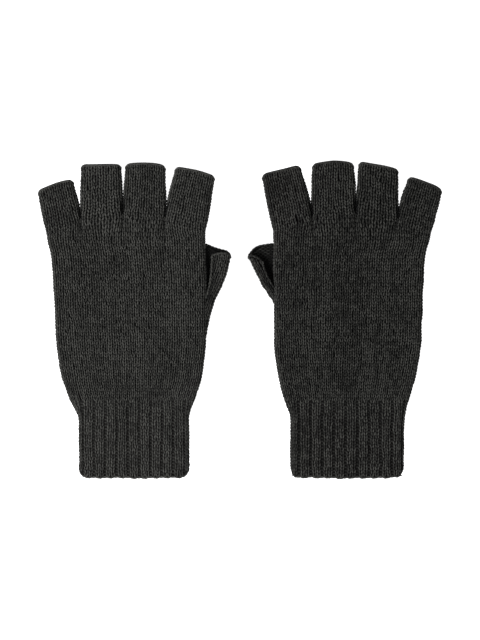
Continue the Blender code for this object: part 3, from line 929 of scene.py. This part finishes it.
def add_strand(fabric, path, radius):
    """A round strand with closed ends along a path of (x, y, z) in metres."""
    path = np.asarray(path, float)
    ahead = np.gradient(path, axis=0)
    ahead /= np.linalg.norm(ahead, axis=1, keepdims=True)
    side = np.cross(ahead, (0.3, 0.9, 0.3))
    side /= np.linalg.norm(side, axis=1, keepdims=True)
    up = np.cross(ahead, side)
    sides = STRAND_SIDES
    turn = np.arange(sides) * 2 * math.pi / sides
    ring = side[:, None] * np.cos(turn)[None, :, None] + up[:, None] * np.sin(turn)[None, :, None]
    points = (path[:, None] + ring * radius).reshape(-1, 3)
    quads = []
    for row in range(len(path) - 1):
        for k in range(sides):
            a, b = row * sides + k, row * sides + (k + 1) % sides
            quads.append((a, b, b + sides, a + sides))
    last = (len(path) - 1) * sides
    for cap in ((0, 1, 2, 3), (0, 3, 4, 7), (4, 5, 6, 7)):
        quads.append(tuple(reversed(cap)))
        quads.append(tuple(last + k for k in cap))
    along, around = np.linspace(0, 1, len(path)), np.linspace(0, 0.9, sides)
    uv = np.column_stack([np.repeat(along, sides), np.tile(around, len(path))])
    # Painted shade: the strands in the join are painted half dark.
    fabric.add(points, np.array(quads), uv, tone=0.4, depth=0.5)


def make_corner(glove, name, node, centre):
    """Picked-up stitches that tie the back layer to the palm layer where sleeves part."""
    fabric = Fabric()
    x = glove.place[0] + glove.side * centre[0]
    for step in range(STRANDS):
        y = glove.place[1] + centre[1] + STRAND_STEP * step
        sway = STRAND_SWAY * (-1) ** step
        low, high = MIDDLE - STRAND_HALF, MIDDLE + STRAND_HALF
        path = [(x + sway, y, low), (x - sway, y + 0.3, MIDDLE), (x + sway, y, high)]
        levels = np.linspace(0, 2, 7)
        add_strand(fabric, through((0, 1, 2), path, levels) * MM, STRAND_THICK * MM)
    glove.finish(fabric, name, node, "wool_edging", ["glove"])


def make_corners(glove):
    """The three joins between the finger sleeves, and the thumb's."""
    for k, (first, second) in enumerate(zip(FINGERS, FINGERS[1:])):
        make_corner(glove, f"{first}_{second}_corner", f"crotch_{first}_{second}", glove.corners[k + 1])
    x, y = THUMBS[glove.hand]["back_rim"][-1]
    make_corner(glove, "thumb_corner", "crotch_thumb", (x + THUMB_JOIN[0], y + THUMB_JOIN[1]))


def wool_material(name, tint, fleck, painted_shade_power):
    """Matt charcoal wool: melange yarn, with painted shade between the stitches, and a soft sheen.

    fleck is how far the palest and the darkest fibres are from the tint, and the last argument
    is how steeply the painted shade darkens the yarn down to the gaps between the stitches.
    """
    material = bpy.data.materials.new(name)
    material.use_nodes = True
    nodes, links = material.node_tree.nodes, material.node_tree.links
    shader = nodes["Principled BSDF"]
    where = nodes.new("ShaderNodeTexCoord")

    def noise(scale, detail):
        made = nodes.new("ShaderNodeTexNoise")
        made.inputs["Scale"].default_value = scale
        made.inputs["Detail"].default_value = detail
        links.new(where.outputs["Object"], made.inputs["Vector"])
        return made.outputs["Fac"]

    def value(label):
        made = nodes.new("ShaderNodeAttribute")
        made.attribute_name = label
        return made.outputs["Fac"]

    def maths(operation, a, b=0.0):
        made = nodes.new("ShaderNodeMath")
        made.operation = operation
        for socket, given in zip(made.inputs, (a, b)):
            if isinstance(given, float):
                socket.default_value = given
            else:
                links.new(given, socket)
        return made.outputs[0]

    flecks = maths("MULTIPLY", maths("SUBTRACT", noise(FLECK_NOISE, 3.0), 0.5), FLECKS)
    patches = maths("MULTIPLY", maths("SUBTRACT", noise(PATCH_NOISE, 2.0), 0.5), PATCHES)
    plies = maths("SINE", maths("MULTIPLY", value("ply"), 2 * math.pi))
    tone = maths("ADD", maths("MULTIPLY", value("tone"), TONES), maths("ADD", flecks, patches))
    tone = maths("ADD", tone, maths("MULTIPLY", plies, PLIES))
    ramp = nodes.new("ShaderNodeValToRGB")
    for end, place, shift in zip(ramp.color_ramp.elements, (0.0, PALEST), (-fleck, fleck)):
        end.position = place
        end.color = (*[c * (MIDDLING + shift) for c in tint], 1.0)
    links.new(tone, ramp.inputs["Fac"])
    # Painted shade: the colour darkens where depth is low, between the stitches, in creases, on rims and
    # deep in the thumb.
    shade = maths("POWER", maths("ADD", maths("MULTIPLY", value("depth"), 0.93), 0.07), painted_shade_power)
    scaled = nodes.new("ShaderNodeVectorMath")
    scaled.operation = "SCALE"
    links.new(ramp.outputs["Color"], scaled.inputs[0])
    links.new(shade, scaled.inputs["Scale"])
    links.new(scaled.outputs["Vector"], shader.inputs["Base Color"])
    rough = maths("ADD", maths("MULTIPLY", noise(ROUGH_NOISE, 2.0), 0.2), 0.8)
    links.new(rough, shader.inputs["Roughness"])
    shader.inputs["Sheen Weight"].default_value = SHEEN
    shader.inputs["Sheen Roughness"].default_value = 0.5
    # The gloss is dimmed by the same painted shade.
    links.new(maths("MULTIPLY", shade, GLOSS), shader.inputs["Specular IOR Level"])
    fibres = maths("ADD", noise(FIBRE_NOISE, 4.0), maths("MULTIPLY", plies, 0.4))
    bump = nodes.new("ShaderNodeBump")
    bump.inputs["Strength"].default_value = BUMP
    bump.inputs["Distance"].default_value = BUMP_TALL
    links.new(fibres, bump.inputs["Height"])
    links.new(bump.outputs["Normal"], shader.inputs["Normal"])
    return material


def make_floor():
    """A plain white table well below the gloves, so that sleeves can bend down freely."""
    bpy.ops.mesh.primitive_plane_add(size=FLOOR_SIZE, location=(0.0, 0.0, FLOOR_Z))
    floor = bpy.context.object
    floor.name = "floor"
    material = bpy.data.materials.new("floor_white")
    material.use_nodes = True
    nodes, links = material.node_tree.nodes, material.node_tree.links
    shader = nodes["Principled BSDF"]
    shader.inputs["Base Color"].default_value = (0.8, 0.8, 0.8, 1.0)
    shader.inputs["Roughness"].default_value = 1.0
    shader.inputs["Specular IOR Level"].default_value = 0.0
    shader.inputs["Emission Color"].default_value = (1.0, 1.0, 1.0, 1.0)
    seen = nodes.new("ShaderNodeLightPath").outputs["Is Camera Ray"]
    links.new(seen, shader.inputs["Emission Strength"])
    floor.data.materials.append(material)


def make_light():
    """White surroundings, a key light from the left and a weaker fill from above."""
    scene = bpy.context.scene
    scene.view_settings.view_transform = "Standard"
    world = bpy.data.worlds.new("studio")
    scene.world = world
    world.use_nodes = True
    nodes, links = world.node_tree.nodes, world.node_tree.links
    nodes["Background"].inputs["Color"].default_value = (1.0, 1.0, 1.0, 1.0)
    strength = nodes.new("ShaderNodeMapRange")
    strength.inputs["To Min"].default_value = WORLD_LIGHT
    links.new(nodes.new("ShaderNodeLightPath").outputs["Is Camera Ray"], strength.inputs["Value"])
    links.new(strength.outputs["Result"], nodes["Background"].inputs["Strength"])
    for name, place, power, size in LAMPS:
        data = bpy.data.lights.new(name, "AREA")
        data.energy = power
        data.size = size
        lamp = bpy.data.objects.new(name, data)
        scene.collection.objects.link(lamp)
        lamp.location = place
        lamp.rotation_euler = (-lamp.location).to_track_quat("-Z", "Y").to_euler()


def make_camera():
    """Straight down over the pair, which fills about five sixths of the frame's width."""
    frame_height = 0.4224
    surface = 0.007
    lens, sensor = 100.0, 36.0
    data = bpy.data.cameras.new("camera")
    data.lens = lens
    data.sensor_width = sensor
    camera = bpy.data.objects.new("camera", data)
    bpy.context.scene.collection.objects.link(camera)
    middle = (CAD_LOW + CAD_HIGH) / 2
    camera.location = (middle.x, middle.y, surface + frame_height * lens / sensor)
    bpy.context.scene.camera = camera


def main():
    """Both gloves, the right one's tint painted darker as painted shade, the table, light and camera."""
    # Painted shade: the right glove's tint is darker, and its painted shade between stitches steeper.
    looks = {
        "left": {"tint": (0.0525, 0.0525, 0.048), "fleck": 0.5, "painted_shade_power": 1.3},
        "right": {"tint": (0.0455, 0.0455, 0.0415), "fleck": 0.6, "painted_shade_power": 1.75},
    }
    for hand, look in looks.items():
        wool = wool_material(f"{hand}_charcoal_wool", **look)
        edging = wool_material(f"{hand}_charcoal_edging", **look)
        glove = Glove(hand, wool, edging)
        make_cuff(glove)
        make_hand(glove)
        for finger in FINGERS:
            make_finger(glove, finger)
        make_thumb(glove)
        make_corners(glove)
    make_floor()
    make_light()
    make_camera()


main()
